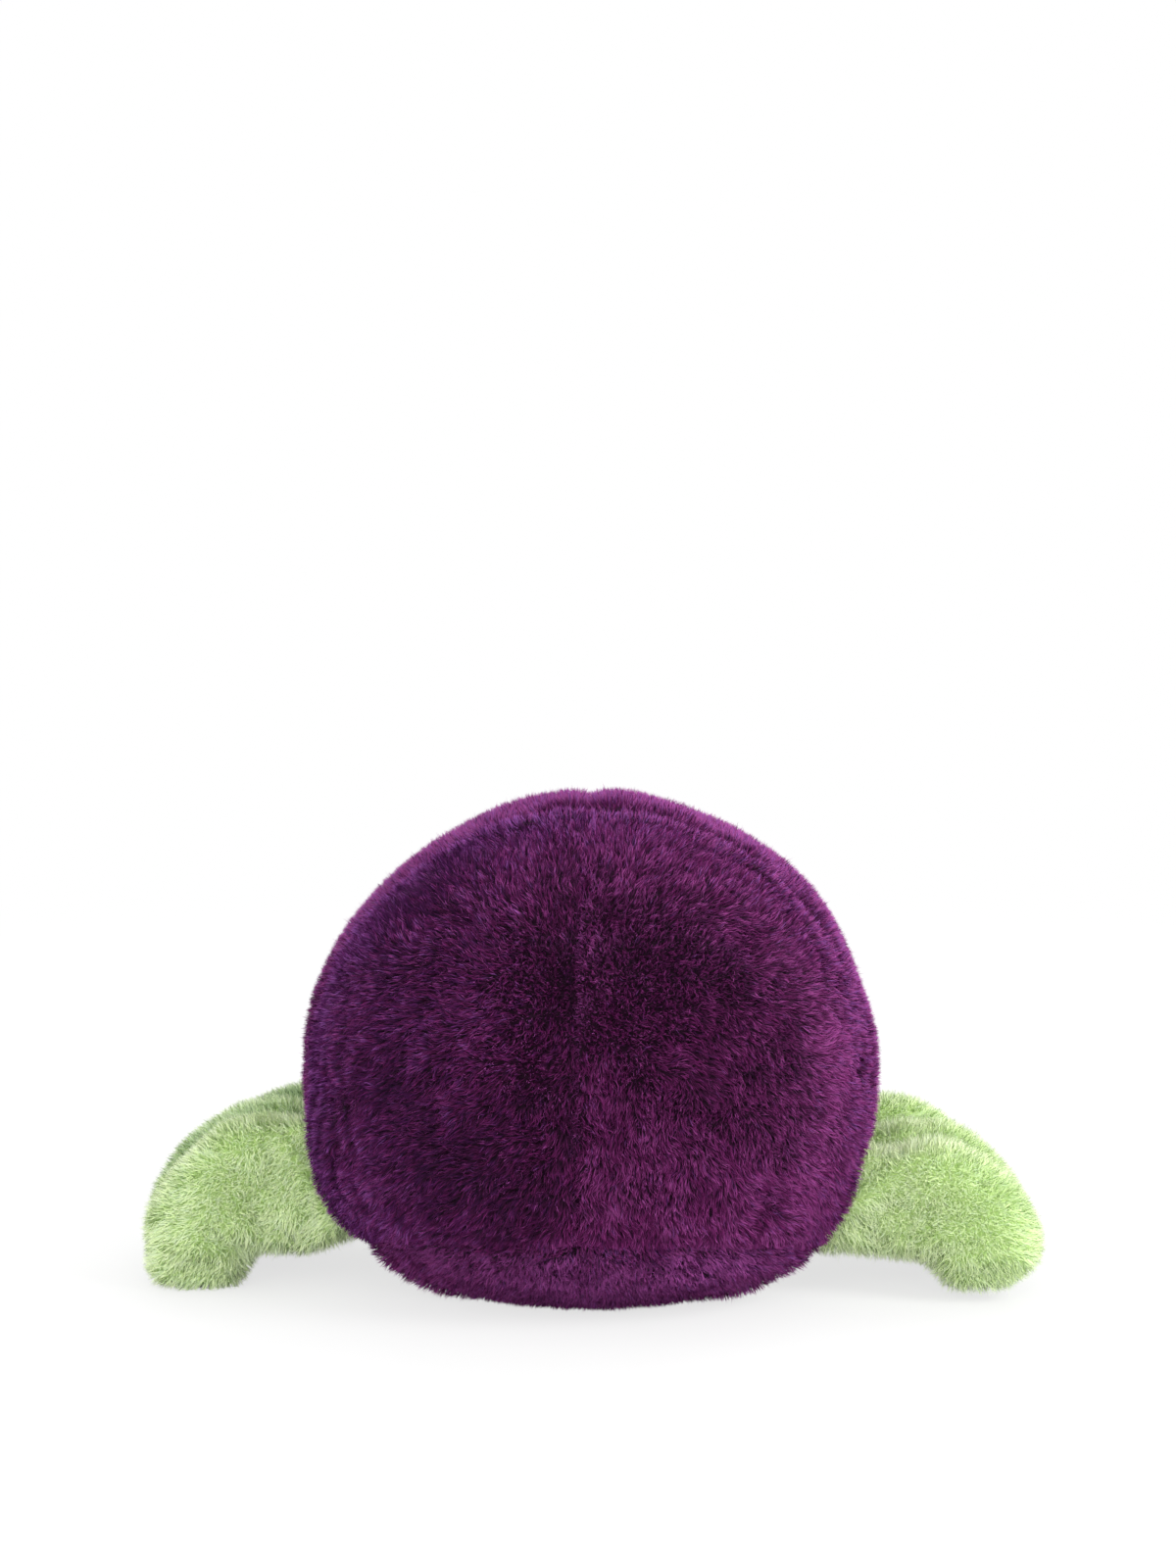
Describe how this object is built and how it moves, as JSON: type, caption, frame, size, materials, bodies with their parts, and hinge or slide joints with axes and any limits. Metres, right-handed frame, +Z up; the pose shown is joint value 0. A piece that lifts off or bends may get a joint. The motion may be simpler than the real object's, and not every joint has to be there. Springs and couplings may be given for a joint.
{
  "type": "spider plush toy",
  "caption": "Stuffed spider toy with a round weighted long-pile body, plastic eyes, a stitched mouth and short fat legs that bend down to the floor and give at their root seams.",
  "frame": {"origin": "middle of the flat on the base panel that the toy sits on, on the floor plane", "axes": "+Z up, -Y the way the face looks, +X the toy's own left"},
  "size_m": [0.2864, 0.193, 0.1585],
  "materials": {
    "body_plush": "purple long-pile plush",
    "leg_plush": "light green long-pile plush",
    "fibrefill": "white polyester stuffing",
    "pouch_cloth": "plain woven lining cloth",
    "pellets": "milky plastic pellets",
    "eye_plastic": "black gloss",
    "washer_plastic": "natural moulded plastic",
    "mouth_thread": "black embroidery thread"
  },
  "bodies": {
    "torso": {"base_panel": "body_plush", "rear_panel_left": "body_plush", "rear_panel_right": "body_plush", "crown_panel_left": "body_plush", "crown_panel_right": "body_plush", "face_panel": "body_plush", "mouth_stitching": "mouth_thread", "fibrefill_core": "fibrefill", "pellet_pouch": "pouch_cloth", "pellet_fill": "pellets", "left_eye": "eye_plastic", "left_eye_washer": "washer_plastic", "left_inner_brow_eye": "eye_plastic", "left_inner_brow_eye_washer": "washer_plastic", "left_outer_brow_eye": "eye_plastic", "left_outer_brow_eye_washer": "washer_plastic", "right_eye": "eye_plastic", "right_eye_washer": "washer_plastic", "right_inner_brow_eye": "eye_plastic", "right_inner_brow_eye_washer": "washer_plastic", "right_outer_brow_eye": "eye_plastic", "right_outer_brow_eye_washer": "washer_plastic"},
    "left_rear_leg": {"leg_left_rear_rear_skin": "leg_plush", "leg_left_rear_front_skin": "leg_plush", "leg_left_rear_filling": "fibrefill"},
    "left_mid_rear_leg": {"leg_left_mid_rear_rear_skin": "leg_plush", "leg_left_mid_rear_front_skin": "leg_plush", "leg_left_mid_rear_filling": "fibrefill"},
    "left_mid_front_leg": {"leg_left_mid_front_rear_skin": "leg_plush", "leg_left_mid_front_front_skin": "leg_plush", "leg_left_mid_front_filling": "fibrefill"},
    "left_front_leg": {"leg_left_front_rear_skin": "leg_plush", "leg_left_front_front_skin": "leg_plush", "leg_left_front_filling": "fibrefill"},
    "right_rear_leg": {"leg_right_rear_rear_skin": "leg_plush", "leg_right_rear_front_skin": "leg_plush", "leg_right_rear_filling": "fibrefill"},
    "right_mid_rear_leg": {"leg_right_mid_rear_rear_skin": "leg_plush", "leg_right_mid_rear_front_skin": "leg_plush", "leg_right_mid_rear_filling": "fibrefill"},
    "right_mid_front_leg": {"leg_right_mid_front_rear_skin": "leg_plush", "leg_right_mid_front_front_skin": "leg_plush", "leg_right_mid_front_filling": "fibrefill"},
    "right_front_leg": {"leg_right_front_rear_skin": "leg_plush", "leg_right_front_front_skin": "leg_plush", "leg_right_front_filling": "fibrefill"}
  },
  "joints": [
    {"name": "left_rear_leg_lift", "type": "hinge", "parent": "torso", "child": "left_rear_leg", "pos_m": [0.08881, -0.00072, 0.054], "axis": [0.0523, -0.9986, 0], "range_deg": [-5, 45], "stiffness_Nm_per_rad": 0.12},
    {"name": "left_mid_rear_leg_lift", "type": "hinge", "parent": "torso", "child": "left_mid_rear_leg", "pos_m": [0.08597, -0.02828, 0.054], "axis": [-0.0698, -0.9976, 0], "range_deg": [-5, 45], "stiffness_Nm_per_rad": 0.12},
    {"name": "left_mid_front_leg_lift", "type": "hinge", "parent": "torso", "child": "left_mid_front_leg", "pos_m": [0.07603, -0.05424, 0.054], "axis": [-0.225, -0.9744, 0], "range_deg": [-5, 45], "stiffness_Nm_per_rad": 0.12},
    {"name": "left_front_leg_lift", "type": "hinge", "parent": "torso", "child": "left_front_leg", "pos_m": [0.05281, -0.08002, 0.054], "axis": [-0.6691, -0.7431, 0], "range_deg": [-5, 45], "stiffness_Nm_per_rad": 0.12},
    {"name": "right_rear_leg_lift", "type": "hinge", "parent": "torso", "child": "right_rear_leg", "pos_m": [-0.08881, -0.00072, 0.054], "axis": [0.0523, 0.9986, 0], "range_deg": [-5, 45], "stiffness_Nm_per_rad": 0.12},
    {"name": "right_mid_rear_leg_lift", "type": "hinge", "parent": "torso", "child": "right_mid_rear_leg", "pos_m": [-0.08597, -0.02828, 0.054], "axis": [-0.0698, 0.9976, 0], "range_deg": [-5, 45], "stiffness_Nm_per_rad": 0.12},
    {"name": "right_mid_front_leg_lift", "type": "hinge", "parent": "torso", "child": "right_mid_front_leg", "pos_m": [-0.07603, -0.05424, 0.054], "axis": [-0.225, 0.9744, 0], "range_deg": [-5, 45], "stiffness_Nm_per_rad": 0.12},
    {"name": "right_front_leg_lift", "type": "hinge", "parent": "torso", "child": "right_front_leg", "pos_m": [-0.05281, -0.08002, 0.054], "axis": [-0.6691, 0.7431, 0], "range_deg": [-5, 45], "stiffness_Nm_per_rad": 0.12}
  ]
}
